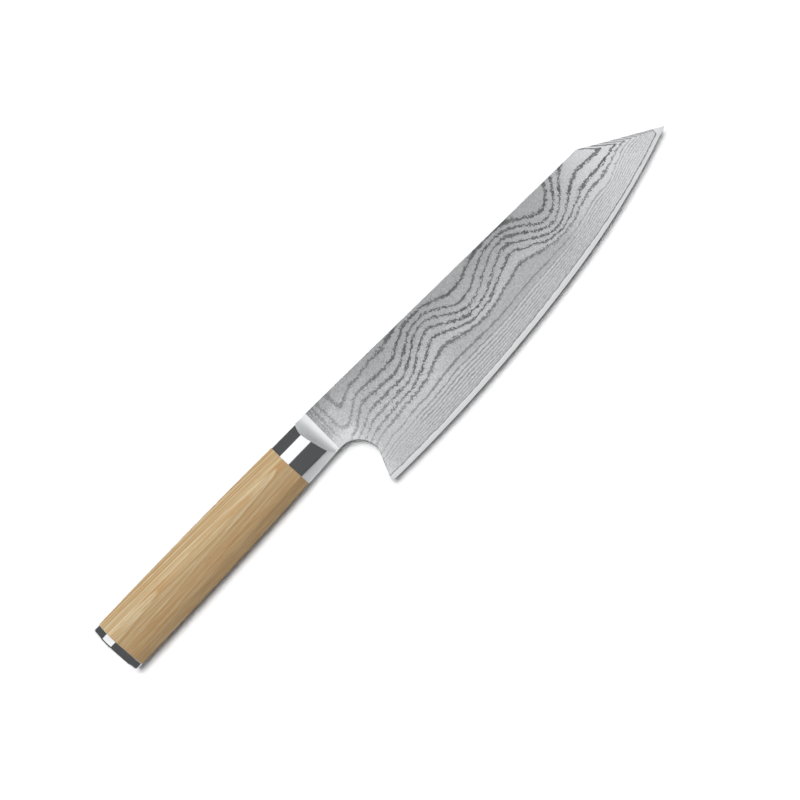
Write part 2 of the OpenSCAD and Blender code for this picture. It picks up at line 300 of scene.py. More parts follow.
def left_heights(step, low):
    """Heights down the left end of the blade, close together where the notch's arc is flat."""
    flat = np.linspace(0, -BOLSTER_H, max(2, round(BOLSTER_H / step)) + 1)
    arc_rows = round(1.6 * NOTCH_R / step) + 4
    turn = np.linspace(0, math.pi / 2 + HEEL_LEAN, arc_rows)[1:]
    arc = NOTCH_CENTRE[1] + NOTCH_R * np.cos(turn)
    heel = np.linspace(NOTCH_END_Y, low, max(2, round((NOTCH_END_Y - low) / step)) + 1)[1:]
    return np.concatenate([flat[:1], [-EASE], flat[1:], arc, heel])


def columns(count):
    """Shares along a row, with one close to the left end for the eased edge of the notch."""
    return np.concatenate([[0, SECOND_COLUMN], np.linspace(0, 1, count + 1)[1:]])


def upper_rows(step, count):
    """Grid over the blade above the bare core strip, as [row, column, (x, y)]."""
    shares = columns(count)
    rows = []
    low = CORE_D - BLADE_H
    for y_left in left_heights(step, low):
        x_left = float(left_x(y_left))
        x = x_left + (CLAD_END_X - x_left) * shares
        bottom = edge_y(x, CORE_D)
        bottom_left = bottom[0]
        y = bottom + (y_left - bottom_left) * (top_y(x) - bottom) / -bottom_left
        rows.append(np.stack([x, np.maximum(y, bottom)], axis=-1))
    return np.array(rows)


# Meshes


def quads(rows, cols, flip=False):
    a = (np.arange(rows - 1)[:, None] * cols + np.arange(cols - 1)[None, :]).ravel()
    faces = np.stack([a, a + cols, a + cols + 1, a + 1], axis=-1)
    return faces[:, ::-1] if flip else faces


def new_object(name, data):
    obj = bpy.data.objects.new(name, data)
    bpy.context.scene.collection.objects.link(obj)
    return obj


def finish_mesh(name, vertices, faces):
    """One closed mesh from points in the spine's frame, with smooth faces and sharp edges."""
    mesh = bpy.data.meshes.new(name)
    points = np.clip(place(vertices), np.array(CAD_BOX[0]), np.array(CAD_BOX[1]))
    mesh.from_pydata(points.tolist(), [], [tuple(f) for f in faces])
    work = bmesh.new()
    work.from_mesh(mesh)
    bmesh.ops.remove_doubles(work, verts=work.verts, dist=1e-7)
    bmesh.ops.dissolve_degenerate(work, edges=work.edges, dist=1e-8)
    bmesh.ops.recalc_face_normals(work, faces=work.faces)
    work.to_mesh(mesh)
    work.free()
    mesh.polygons.foreach_set("use_smooth", [True] * len(mesh.polygons))
    mesh.set_sharp_from_angle(angle=SHARP)
    return new_object(name, mesh)


def slab(name, grid, z_front, z_back):
    """Closed solid between two height fields over the same grid of (x, y)."""
    rows, cols = grid.shape[:2]
    front = np.concatenate([grid, z_front[..., None]], axis=-1).reshape(-1, 3)
    back = np.concatenate([grid, z_back[..., None]], axis=-1).reshape(-1, 3)
    count = rows * cols
    ring = np.concatenate([
        np.arange(cols),
        np.arange(1, rows) * cols + cols - 1,
        (rows - 1) * cols + np.arange(cols - 2, -1, -1),
        np.arange(rows - 2, 0, -1) * cols,
    ])
    after = np.roll(ring, -1)
    walls = np.stack([ring, after, after + count, ring + count], axis=-1)
    faces = np.concatenate([quads(rows, cols), quads(rows, cols, True) + count, walls])
    return finish_mesh(name, np.concatenate([front, back]), faces)


def ring_solid(name, rings, closed=False):
    """Closed skin through rings of equal point count: back on itself, or with fans at both ends."""
    count = len(rings[0])
    points = np.concatenate(rings)
    number = len(rings)
    faces = []
    i = np.arange(count)
    after = (i + 1) % count
    for k in range(number if closed else number - 1):
        a = k * count
        b = (k + 1) % number * count
        faces.append(np.stack([a + i, a + after, b + after, b + i], axis=-1))
    faces = [tuple(f) for f in np.concatenate(faces)]
    if not closed:
        faces.append(tuple(i[::-1]))
        faces.append(tuple((number - 1) * count + i))
    return finish_mesh(name, points, faces)


def spine_frame_points(obj):
    co = np.empty(len(obj.data.vertices) * 3)
    obj.data.vertices.foreach_get("co", co)
    return from_place(co.reshape(-1, 3))


def set_attribute(obj, name, values, domain="POINT"):
    attribute = obj.data.attributes.new(name, "FLOAT", domain)
    attribute.data.foreach_set("value", np.asarray(values, np.float32))


# Layer pattern of the cladding. Each station lists how deep the layer lines lie below the spine, from
# the first wavy line down to the first straight one, and a negative depth is past the spine.
STATIONS = [
    (8.2, (13.6, 18.2, 22.6, 25.6, 28.3, 31.3, 33.9, 38.0)),
    (24.3, (5.0, 9.7, 14.6, 19.5, 23.5, 27.4, 30.9, 35.2)),
    (41.3, (3.3, 10.4, 15.5, 19.5, 22.9, 26.0, 29.0, 33.4)),
    (66.6, (-1.0, 2.2, 4.9, 7.7, 11.1, 15.9, 21.9, 30.6)),
    (87.8, (-4.0, 6.6, 12.8, 16.9, 20.1, 22.9, 25.8, 30.7)),
    (118.6, (-5.0, 0.2, 2.9, 5.7, 8.6, 12.9, 19.5, 28.1)),
    (142.5, (-3.0, 9.0, 13.3, 16.6, 19.5, 21.7, 23.7, 26.9)),
    (169.2, (-30.0, -18.6, -10.3, -2.9, 6.9, 13.4, 17.4, 21.8)),
    (194.5, (-30.0, -20.0, -12.0, -4.0, 7.9, 10.4, 12.2, 14.1)),
]
# First and last station where the waves lean away from an even shape
FIRST_UNEVEN = 2
LAST_UNEVEN = 5
WAVY_LINES = 7
STRAIGHT_LINES = 9
# How the straight lines crowd together towards the edge, up to TIP_FROM and past TIP_TO
STRAIGHT_POWER = 1.5
TIP_STRAIGHT_POWER = 1.1
TIP_FROM = 110.0
TIP_TO = 190.0
# Least distance between the two top lines, between others, and of the last one from the core
LEAST_TOP_GAP = 3.0
LEAST_GAP = 0.5
LEAST_STRAIGHT = 1.0
# Pull of the bolster on the lines, and of the straight cut at the tip
BOLSTER_LEVEL = 4.1
BOLSTER_FALL = 1.6
BOLSTER_SHIFT = 0.3
BOLSTER_LEAST = 0.1
BOLSTER_BLEND = 1.2
CUT_LEVEL = 3.7
CUT_RISE = 8.5
CUT_TIP_RISE = 15.0
CUT_FALL = 0.5
CUT_FALL_RISE = 1.3
CUT_BLEND = 0.5
CUT_NEAR = -0.45
CUT_HERE = -0.05
# Distance over which the slope of the index is measured, and the limits of the spacing
SLOPE_STEP = 0.4
SPACING_LOW = 0.4
SPACING_HIGH = 11.0


def wave_power(line, station):
    """Upper lines have wide ridges and sharp hollows, and lower lines the other way round."""
    if station < FIRST_UNEVEN or station > LAST_UNEVEN:
        return 1.0
    if station == FIRST_UNEVEN:
        return max(1.4 - 0.14 * line, 0.68)
    return max(2.0 - 0.32 * line, 0.68)


def line_depths(x):
    """Depth below the spine of every line of the stations' lists, at places along the blade."""
    places = np.array([s[0] for s in STATIONS])
    depths = np.array([s[1] for s in STATIONS])
    at = np.clip(np.searchsorted(places, x) - 1, 0, len(places) - 2)
    share = np.clip((x - places[at]) / (places[at + 1] - places[at]), -0.5, 1.5)
    ease = np.where(share < 0, share, (1 - np.cos(np.pi * np.clip(share, 0, 1))) / 2)
    out = []
    for line in range(depths.shape[1]):
        power = np.array([wave_power(line, s) for s in range(len(places))])[at]
        a = depths[at, line]
        b = depths[at + 1, line]
        # The power bends the way from the ridge, where the lines are high, to the hollow
        falling = b > a
        from_ridge = np.where(falling, ease, 1 - ease)
        bent = np.sign(from_ridge) * np.abs(from_ridge) ** power
        high = np.minimum(a, b)
        low = np.maximum(a, b)
        out.append(high + (low - high) * bent)
    return np.array(out)


def layer_index(x, y):
    """Index of the layer at a point of the blade's face: whole numbers are the dark lines."""
    depth = -y
    lines = line_depths(x)
    core = -edge_y(x, CORE_D)
    value = (depth - lines[0]) / np.maximum(lines[1] - lines[0], LEAST_TOP_GAP)
    for k in range(1, WAVY_LINES + 1):
        above = lines[k - 1]
        gap = np.maximum(lines[k] - above, LEAST_GAP)
        share = (depth - above) / gap
        value = np.where(share > 0, k - 1 + np.clip(share, 0, 1), value)
    last = lines[WAVY_LINES]
    below = np.clip((depth - last) / np.maximum(core - last, LEAST_STRAIGHT), 0, 1)
    by_tip = smooth_step(x, TIP_FROM, TIP_TO)
    power = STRAIGHT_POWER + (TIP_STRAIGHT_POWER - STRAIGHT_POWER) * by_tip
    value = np.where(below > 0, WAVY_LINES + STRAIGHT_LINES * below**power, value)
    from_bolster = np.maximum(x + BOLSTER_SHIFT, BOLSTER_LEAST)
    by_bolster = BOLSTER_LEVEL - BOLSTER_FALL * np.log(from_bolster)
    value = smooth_max(value, by_bolster, BOLSTER_BLEND)
    return smooth_max(value, cut_index(x, y), CUT_BLEND)


def cut_index(x, y):
    """Index of the layers that lie along the straight cut at the tip."""
    along = (x - SHOULDER_X) / (TIP_X - SHOULDER_X)
    past = np.clip(along, 0, 1)
    fall = CUT_FALL + CUT_FALL_RISE * past
    return CUT_LEVEL + CUT_RISE * along + CUT_TIP_RISE * past**8 - fall * from_cut(x, y)


def add_layer_attributes(obj):
    """Layer index and the local distance between lines, in millimetres, at each vertex."""
    p = spine_frame_points(obj)
    x, y = p[:, 0], p[:, 1]
    step = SLOPE_STEP
    value = layer_index(x, y)
    across = (layer_index(x, y + step) - layer_index(x, y - step)) / (2 * step)
    along = (layer_index(x + step, y) - layer_index(x - step, y)) / (2 * step)
    spacing = 1 / np.maximum(np.hypot(across, along), 1 / SPACING_HIGH)
    set_attribute(obj, "layer", value)
    set_attribute(obj, "by_cut", smooth_step(cut_index(x, y) - value, CUT_NEAR, CUT_HERE))
    set_attribute(obj, "spacing", np.maximum(spacing, SPACING_LOW))
    set_attribute(obj, "edge_distance", from_edge(x, y))


def build_cladding(name, side):
    grid = upper_rows(CLAD_STEP, CLAD_COLUMNS)
    x, y = grid[..., 0], grid[..., 1]
    outer = half_t(x, y)
    inner = np.full_like(outer, CORE_T / 2)
    # Ease the outer edge along the spine, the cut, the notch and the heel
    drop = np.minimum(EASE, EASE_SHARE * (outer - inner))
    eased = outer.copy()
    eased[0] -= drop[0]
    free = y[:, 0] < -BOLSTER_H
    eased[free, 0] = np.minimum(eased[free, 0], (outer - drop)[free, 0])
    obj = slab(name, grid, side * eased, side * inner)
    add_layer_attributes(obj)
    return obj


def build_core():
    upper = upper_rows(CORE_STEP, CORE_COLUMNS)
    shares = columns(CORE_COLUMNS)
    strips = []
    for d in EDGE_ROWS:
        start, end = row_ends(d)
        x = start + (end - start) * shares
        strips.append(np.stack([x, edge_y(x, d)], axis=-1))
    grid = np.concatenate([upper, np.array(strips)])
    thick = np.minimum(half_t(grid[..., 0], grid[..., 1]), CORE_T / 2)
    thick[: len(upper)] = CORE_T / 2
    obj = slab("core_blade", grid, thick, -thick)
    add_layer_attributes(obj)
    return obj


# Section of the handle


def section_points(high, ridge, shape, inset):
    """Dense outline of the section as [y, z], with every corner rounded by an arc."""
    top = high / 2 - inset
    right = ridge - inset
    left = LEFT_T - inset
    corners = [
        (top, -left, LEFT_ROUND - inset),
        (top, shape[1] * right, SPINE_SIDE_ROUND - inset / 2),
        (high / 2 - RIDGE_DROP, right, RIDGE_ROUND),
        (top * (1 - 2 * shape[0]), shape[2] * right, FACET_ROUND),
        (-top, shape[3] * right, UNDERSIDE_ROUND - inset / 2),
        (-top, -left, LEFT_ROUND - inset),
    ]
    points = []
    for k, corner in enumerate(corners):
        before = np.array(corners[k - 1][:2])
        after = np.array(corners[(k + 1) % len(corners)][:2])
        at = np.array(corner[:2])
        to_a = (before - at) / np.linalg.norm(before - at)
        to_c = (after - at) / np.linalg.norm(after - at)
        half = math.acos(float(to_a @ to_c)) / 2
        middle = to_a + to_c
        centre = at + middle / np.linalg.norm(middle) * corner[2] / math.sin(half)
        first = at + to_a * corner[2] / math.tan(half) - centre
        last = at + to_c * corner[2] / math.tan(half) - centre
        start = math.atan2(first[1], first[0])
        swing = (math.atan2(last[1], last[0]) - start + math.pi) % (2 * math.pi) - math.pi
        angles = start + swing * np.linspace(0, 1, CORNER_STEPS + 1)
        points.append(centre + corner[2] * np.stack([np.cos(angles), np.sin(angles)], axis=-1))
    return np.concatenate(points)


SECTION_ANGLES = np.linspace(-math.pi, math.pi, SECTION_POINTS, endpoint=False)


def section_ring(high, ridge, shape, inset=0.0):
    """The section at evenly spread angles about the handle's axis, as [y, z]."""
    outline = section_points(high, ridge, shape, inset)
    closed = np.concatenate([outline, outline[:1]])
    share = np.linspace(0, 1, SIDE_STEPS, endpoint=False)[:, None, None]
    dense = (closed[:-1] * (1 - share) + closed[1:] * share).reshape(-1, 2)
    angle = np.arctan2(dense[:, 1], dense[:, 0])
    order = np.argsort(angle)
    radius = np.hypot(dense[:, 0], dense[:, 1])
    r = np.interp(SECTION_ANGLES, angle[order], radius[order], period=2 * math.pi)
    return np.stack([r * np.cos(SECTION_ANGLES), r * np.sin(SECTION_ANGLES)], axis=-1)


def circle_ring(radius):
    return radius * np.stack([np.cos(SECTION_ANGLES), np.sin(SECTION_ANGLES)], axis=-1)


def at_back(ring, back):
    """A ring [y, z] set across the handle, a distance behind the joint, in the spine's frame."""
    x = np.broadcast_to(-np.asarray(back, float), ring.shape[:1])
    return to_spine_frame(np.concatenate([x[:, None], ring], axis=-1))


def wood_high(share):
    return FRONT_H + (BUTT_H - FRONT_H) * share + 4 * BELLY_H * share * (1 - share)


def ridge_high(share):
    return FRONT_RIDGE_T + (BUTT_RIDGE_T - FRONT_RIDGE_T) * share


def shape_at(share):
    return JOINT_SHAPE + (BUTT_SHAPE - JOINT_SHAPE) * share


def joint_ring(inset=0.0):
    """The ring where wood and bolster meet, in the spine's frame."""
    return at_back(section_ring(FRONT_H, FRONT_RIDGE_T, JOINT_SHAPE, inset), 0)


def butt_ring(inset=0.0):
    return section_ring(BUTT_H, BUTT_RIDGE_T, BUTT_SHAPE, inset)


def build_wood():
    rings = [joint_ring(JOINT_EASE)]
    between = np.arange(WOOD_STEP, WOOD_L - WOOD_STEP / 2, WOOD_STEP)
    for back in np.concatenate([[JOINT_EASE], between, [WOOD_L - JOINT_EASE]]):
        share = back / WOOD_L
        rings.append(at_back(section_ring(wood_high(share), ridge_high(share), shape_at(share)), back))
    rings.append(at_back(butt_ring(JOINT_EASE), WOOD_L))
    floor = WOOD_L - COUNTERBORE_L
    rings.append(at_back(circle_ring(COUNTERBORE_R), WOOD_L))
    rings.append(at_back(circle_ring(COUNTERBORE_R), floor))
    rings.append(at_back(circle_ring(BORE_R), floor))
    rings.append(at_back(circle_ring(BORE_R), 0))
    return ring_solid("wood_handle", rings, closed=True)


def build_cap():
    rings = [at_back(circle_ring(COUNTERBORE_R), WOOD_L - SPIGOT_L)]
    rings.append(at_back(circle_ring(COUNTERBORE_R), WOOD_L))
    rings.append(at_back(butt_ring(JOINT_EASE), WOOD_L))
    rings.append(at_back(butt_ring(), WOOD_L + JOINT_EASE))
    straight = CAP_T - CAP_ROUND - CAP_CROWN
    rings.append(at_back(butt_ring(), WOOD_L + straight))
    for a in np.linspace(0, math.pi / 2, CAP_EDGE_RINGS + 1)[1:]:
        ring = butt_ring(CAP_ROUND * (1 - math.cos(a)))
        rings.append(at_back(ring, WOOD_L + straight + CAP_ROUND * math.sin(a)))
    # The end face rises a little to its middle
    for share in (0.85, 0.65, 0.45, 0.25, 0.1):
        back = WOOD_L + CAP_T - CAP_CROWN * share**2
        rings.append(at_back(butt_ring(CAP_ROUND) * share, back))
    return ring_solid("cap_end", rings)


# Bolster: the collar ends where the ramp's cone cuts it


def ramp_depth(x, y):
    """Height of the ramp over the blade's middle, on the cone that hollows the bolster."""
    cosine = math.cos(RAMP_NARROWING)
    radius = (RAMP_SPINE_R + y * math.sin(RAMP_NARROWING)) / cosine
    inside = np.maximum(radius**2 - (x / cosine) ** 2, 0)
    return RAMP_Z + (radius - np.sqrt(inside)) * cosine


def cut_share(back, front, side):
    """Share of the way from the back ring to the front one at which the ramp cuts the collar."""
    low = np.zeros(len(back))
    high = np.ones(len(back))
    for _ in range(HALVINGS):
        middle = (low + high) / 2
        p = back + (front - back) * middle[:, None]
        radius = RAMP_SPINE_R + p[:, 1] * math.sin(RAMP_NARROWING)
        under = (side * p[:, 2] < ramp_depth(p[:, 0], p[:, 1])) | (-p[:, 0] > radius)
        low = np.where(under, middle, low)
        high = np.where(under, high, middle)
    return high


def build_bolster():
    back = joint_ring()
    front_ring = section_ring(BOLSTER_H, FRONT_RIDGE_T, LIP_SHAPE)
    front_y = front_ring[:, 0] - BOLSTER_H / 2
    front = np.stack([np.zeros(SECTION_POINTS), front_y, front_ring[:, 1]], axis=-1)
    side = np.where(front_ring[:, 1] > 0, 1.0, -1.0)
    end = back + (front - back) * cut_share(back, front, side)[:, None]
    rings = [joint_ring(JOINT_EASE)]
    shares = np.linspace(SECOND_COLLAR_RING, 1, COLLAR_RINGS)
    for share in np.concatenate([[JOINT_EASE / BOLSTER_L], shares]):
        rings.append(back + (end - back) * share)
    # The ramp runs from the cut to the lip, and the lip closes on the front face
    on_ramp = np.abs(end[:, 2]) > RAMP_Z
    lip_y = np.clip(end[:, 1], -BOLSTER_H, 0)
    lip_z = side * np.minimum(np.abs(end[:, 2]), RAMP_Z)
    lip = np.stack([np.zeros(SECTION_POINTS), lip_y, lip_z], axis=-1)
    for share in np.linspace(0, 1, RAMP_RINGS + 1)[1:]:
        p = end + (lip - end) * share
        p[:, 2] = np.where(on_ramp, side * ramp_depth(p[:, 0], p[:, 1]), end[:, 2])
        rings.append(p)
    return ring_solid("steel_bolster", rings)


# Materials

# The slightly cool white of steel and studio
COOL = (0.985, 1.0, 1.01)

# Places along the blade, from the part's middle: the layer lines gain their full darkness behind the
# bolster, the cladding is painted paler before the tip as a gradient of light, and its round nose ends
# before the tip
STARTS_FAINT = ORIGIN[0] / MM + 8
STARTS_DARK = ORIGIN[0] / MM + 45
PALE_FROM = ORIGIN[0] / MM + 140
PALE_TO = ORIGIN[0] / MM + 185
NOSE_X = ORIGIN[0] / MM + TIP_X - 5.0

# Growth layers of the wood: their thickness, their tilt along the handle, and the height over the rest
# plane of a layer's dark end that comes to a point on the ridge
LAYER_T = 1.7
LAYER_TILT = 0.0095
FIGURE_Z = LEFT_T + 8.46
JOINT_X = ORIGIN[0] / MM + WOOD_X
# Height of the handle's axis in the material's turned coordinates
AXIS_Y = (ORIGIN[1] / MM + WOOD_Y) * math.cos(DROOP) - (ORIGIN[0] / MM + WOOD_X) * math.sin(DROOP)


class Nodes:
    """A short way to write the node tree of a material or of the world."""

    def __init__(self, owner, shader="Principled BSDF"):
        owner.use_nodes = True
        self.owner = owner
        self.tree = owner.node_tree
        self.shader = self.tree.nodes[shader]

    def add(self, kind, values=None, **settings):
        node = self.tree.nodes.new(kind)
        for key, value in settings.items():
            setattr(node, key, value)
        for key, value in (values or {}).items():
            self.put(node.inputs[key], value)
        return node

    def put(self, socket, value):
        if isinstance(value, bpy.types.NodeSocket):
            self.tree.links.new(value, socket)
        elif hasattr(socket.default_value, "__len__") and not hasattr(value, "__len__"):
            socket.default_value = [value] * len(socket.default_value)
        else:
            socket.default_value = value

    def math(self, operation, *values):
        node = self.add("ShaderNodeMath", operation=operation)
        for socket, value in zip(node.inputs, values):
            self.put(socket, value)
        return node.outputs[0]

    def times(self, value, *others):
        for other in others:
            value = self.math("MULTIPLY", value, other)
        return value

    def plus(self, value, *others):
        for other in others:
            value = self.math("ADD", value, other)
        return value

    def minus(self, a, b):
        return self.math("SUBTRACT", a, b)

    def swing(self, noise, width):
        """How far a noise lies from its middle, times a width."""
        return self.times(self.minus(noise, 0.5), width)

    def steps(self, value, low, high, to_low=0.0, to_high=1.0, smooth=True):
        """A soft step of the value between low and high, or a straight one."""
        kind = "SMOOTHSTEP" if smooth else "LINEAR"
        node = self.add("ShaderNodeMapRange", interpolation_type=kind)
        for key, item in zip(
            ("Value", "From Min", "From Max", "To Min", "To Max"), (value, low, high, to_low, to_high)
        ):
            self.put(node.inputs[key], item)
        return node.outputs["Result"]

    def mix(self, share, a, b, blend="MIX"):
        node = self.add("ShaderNodeMix", data_type="RGBA", blend_type=blend)
        self.put(node.inputs["Factor"], share)
        self.put(node.inputs["A"], (*a, 1.0) if isinstance(a, tuple) else a)
        self.put(node.inputs["B"], (*b, 1.0) if isinstance(b, tuple) else b)
        return node.outputs["Result"]

    def blend(self, share, a, b):
        node = self.add("ShaderNodeMix", data_type="FLOAT")
        self.put(node.inputs["Factor"], share)
        self.put(node.inputs["A"], a)
        self.put(node.inputs["B"], b)
        return node.outputs["Result"]

    def attribute(self, name):
        return self.add("ShaderNodeAttribute", attribute_name=name).outputs["Fac"]

    def millimetres(self, stretch=(1, 1, 1), turn=0.0):
        """Object coordinates in millimetres, divided by a length along each axis."""
        place_node = self.add("ShaderNodeTexCoord").outputs["Object"]
        turned = self.add("ShaderNodeMapping", {"Vector": place_node, "Rotation": (0, 0, turn)})
        scale = tuple(1 / MM / s for s in stretch)
        mapping = self.add("ShaderNodeMapping", {"Vector": turned.outputs[0], "Scale": scale})
        return mapping.outputs[0]

    def parts(self, vector):
        """The outputs X, Y and Z of a vector."""
        return self.add("ShaderNodeSeparateXYZ", {"Vector": vector}).outputs

    def noise_at(self, vector, detail=2.0, roughness=0.5):
        values = {"Vector": vector, "Scale": 1.0, "Detail": detail, "Roughness": roughness}
        return self.add("ShaderNodeTexNoise", values).outputs["Fac"]

    def noise(self, stretch, detail=2.0, roughness=0.5, turn=0.0):
        """Noise with patches of about the given lengths in millimetres along each axis."""
        return self.noise_at(self.millimetres(stretch, turn), detail, roughness)

    def surface(self, colour, rough, metallic=0.0):
        self.put(self.shader.inputs["Base Color"], colour)
        self.put(self.shader.inputs["Roughness"], rough)
        self.shader.inputs["Metallic"].default_value = metallic

    def bump(self, height, strength, distance):
        values = {"Height": height, "Strength": strength, "Distance": distance * MM}
        node = self.add("ShaderNodeBump", values)
        self.put(self.shader.inputs["Normal"], node.outputs[0])


def new_material(name):
    return Nodes(bpy.data.materials.new(name))


def grey(value):
    return tuple(value * share for share in COOL)


def blade_values(n):
    """What the blade's material reads at each point, and the noises its parts share."""
    at = n.parts(n.millimetres())
    layer = n.attribute("layer")
    return SimpleNamespace(
        layer=layer,
        spacing=n.attribute("spacing"),
        edge=n.attribute("edge_distance"),
        by_cut=n.attribute("by_cut"),
        # The lines near the edge are straight and calm
        calm=n.steps(layer, 6.4, 7.0),
        along=at["X"],
        depth=n.minus(ORIGIN[1] / MM, at["Y"]),
        ragged=n.noise((0.62, 0.62, 3), 1.5, 0.6),
        slow=n.noise((15, 9, 20), 1.0),
        grain=n.noise((0.58, 0.58, 1), 1.0, 0.6),
    )


def layer_lines(n, v):
    """The layer index with ragged lines, and the distance to the nearest line in half line widths."""
    jagged = n.noise((1.35, 1.1, 3), 1.0, 0.6)
    wobble = n.noise((2.9, 2.4, 6), 1.0)
    shift = n.plus(
        n.swing(v.ragged, n.blend(v.calm, 2.3, 1.0)),
        n.swing(jagged, n.blend(v.calm, 2.4, 0.9)),
        n.swing(wobble, n.blend(v.calm, 2.0, 0.9)),
    )
    shift = n.times(shift, n.blend(v.by_cut, 1.0, 0.3), n.steps(v.spacing, 0.0, 2.2, 0.15, 1.0, False))
    moved = n.plus(v.layer, n.math("DIVIDE", shift, v.spacing))
    nearest = n.math("ABSOLUTE", n.minus(moved, n.math("ROUND", moved)))
    # Lines are wide where the layers lie flat to the face, so far apart, and where they meet the spine
    wide = n.times(
        n.plus(n.times(v.spacing, 0.054), 0.35),
        n.steps(v.slow, 0.3, 0.7, 0.75, 1.3),
        n.steps(v.depth, 0.3, 3.0, 2.1, 1.0),
        n.blend(n.math("MAXIMUM", v.calm, v.by_cut), 1.0, 0.62),
    )
    wide = n.math("MINIMUM", wide, n.times(v.spacing, 0.26))
    return moved, n.math("DIVIDE", n.times(nearest, v.spacing), wide)


def line_strength(n, v, moved, near):
    """How dark the lines are: faint near the edge, but darker where they turn up at the cut."""
    patches = n.noise((7, 4, 9))
    towards_edge = n.steps(v.edge, 3.0, 13.0, 0.42, 0.64)
    towards_tip = n.steps(v.along, PALE_FROM - 60, PALE_TO - 20, 1.0, 0.70)
    faint = n.blend(v.by_cut, n.times(towards_edge, towards_tip), 0.9)
    lowest = n.steps(v.layer, 5.2, 6.0, 1.0, 0.80)
    by_bolster = n.steps(v.along, STARTS_FAINT - 3, STARTS_FAINT + 3, 1.0, 0.0)
    return n.times(
        n.steps(near, 0.5, 1.25, 1.0, 0.0),
        n.blend(v.calm, lowest, faint),
        n.steps(patches, 0.3, 0.7, 0.88, 1.12),
        n.steps(v.along, STARTS_FAINT, STARTS_DARK + 12, 0.50, 1.0),
        n.math("GREATER_THAN", moved, -1.4),
        # Beside the bolster they fade out down the blade
        n.blend(by_bolster, 1.0, n.steps(v.depth, 11.0, 20.0, 1.0, 0.25)),
    )


def core_strip(n, v):
    """Share of the bare core, and of the dark line beside it, which wanders a little."""
    wander = n.swing(n.noise((4, 4, 9), 3.0), 0.9)
    inside = n.plus(v.edge, wander, n.steps(v.along, PALE_FROM - 10, PALE_TO, 0.0, 0.65))
    # The core widens at the tip, where the cladding ends in a round nose
    nose = n.plus(n.minus(NOSE_X, v.along), CORE_D)
    inside = n.math("SMOOTH_MIN", inside, nose, 1.6)
    core = n.steps(inside, CORE_D - 0.12, CORE_D + 0.12, 1.0, 0.0)
    rim = n.steps(n.math("ABSOLUTE", n.minus(inside, CORE_D + 0.26)), 0.12, 0.42, 0.8, 0.0)
    return core, n.times(rim, n.steps(v.ragged, 0.36, 0.56, 0.35, 1.0))


def cladding_colour(n, v, strength, near, rim):
    """Greys of the cladding: paler towards the edge, at the tip and beside the bolster. The paleness
    towards the edge and the tip is painted light, a gradient of light across the face.
    """
    by_bolster = n.times(
        n.steps(v.along, STARTS_FAINT, STARTS_DARK, 0.85, 0.0), n.steps(v.depth, 2.0, 9.0)
    )
    # Painted light: the grey is painted paler down the face towards the edge
    pale = n.math("MAXIMUM", n.steps(v.depth, 0.0, 30.0), by_bolster)
    under_bolster = n.times(
        n.steps(v.along, STARTS_FAINT, STARTS_FAINT + 9, 1.0, 0.0), n.steps(v.depth, 14.0, 20.0)
    )
    # Painted light: the grey is also painted paler towards the tip
    bright = n.math("MAXIMUM", under_bolster, n.steps(v.along, PALE_FROM, PALE_TO))
    # The wide layer under the lowest wavy line is darker
    wide_layer = n.times(
        n.steps(v.layer, 5.7, 6.2),
        n.steps(v.layer, 7.2, 8.6, 1.0, 0.0),
        n.steps(v.along, STARTS_DARK + 5, STARTS_DARK + 30),
        n.steps(v.along, PALE_FROM - 4, PALE_FROM + 15, 1.0, 0.0),
    )
    clad = n.mix(pale, grey(0.380), grey(0.545))
    for share, level in (
        (n.times(wide_layer, 0.62), 0.375),
        (bright, 0.67),
        (n.times(strength, 0.88), 0.135),
        (rim, 0.17),
    ):
        clad = n.mix(share, clad, grey(level))
    mottle = n.noise((1.7, 1.7, 3), 1.5, 0.55)
    halo = n.times(n.steps(near, 0.8, 3.4, 1.0, 0.0), n.blend(v.calm, 0.045, 0.0))
    tone = n.plus(n.swing(v.grain, 0.80), n.swing(mottle, 0.28), n.swing(v.slow, 0.10))
    tone = n.plus(n.minus(tone, halo), 0.5)
    tint = n.add("ShaderNodeCombineColor", {"Red": tone, "Green": tone, "Blue": tone})
    return n.mix(0.62, clad, tint.outputs[0], "OVERLAY")


def blade_material(name):
    """Layered steel with ragged dark layer lines, and the bare core in a bright strip at the edge."""
    n = new_material(name)
    v = blade_values(n)
    moved, near = layer_lines(n, v)
    strength = line_strength(n, v, moved, near)
    core, rim = core_strip(n, v)
    clad = cladding_colour(n, v, strength, near, rim)
    rough = n.plus(n.times(strength, 0.10), 0.38, n.swing(v.grain, 0.10))
    n.surface(n.mix(core, clad, grey(0.71)), n.blend(core, rough, 0.32), 1.0)
    height = n.minus(n.times(v.grain, 0.25), n.times(strength, 0.5))
    lines_across = n.noise((0.09, 6.0, 1), 2.0, 0.6)
    n.bump(n.blend(core, height, n.times(lines_across, 0.12)), 0.4, 0.05)
    return n.owner


def spine_material(name):
    """Satin steel of the blade's spine, heel and notch, with fine lines from grinding along it."""
    n = new_material(name)
    fine = n.noise((9, 9, 0.12), 2.0, 0.6)
    broad = n.noise((22, 12, 4), 1.0)
    shade = n.plus(n.times(fine, 0.35), n.times(broad, 0.65))
    n.surface(n.mix(shade, grey(0.50), grey(0.68)), n.steps(fine, 0.2, 0.8, 0.28, 0.42), 1.0)
    n.bump(fine, 0.35, 0.03)
    return n.owner


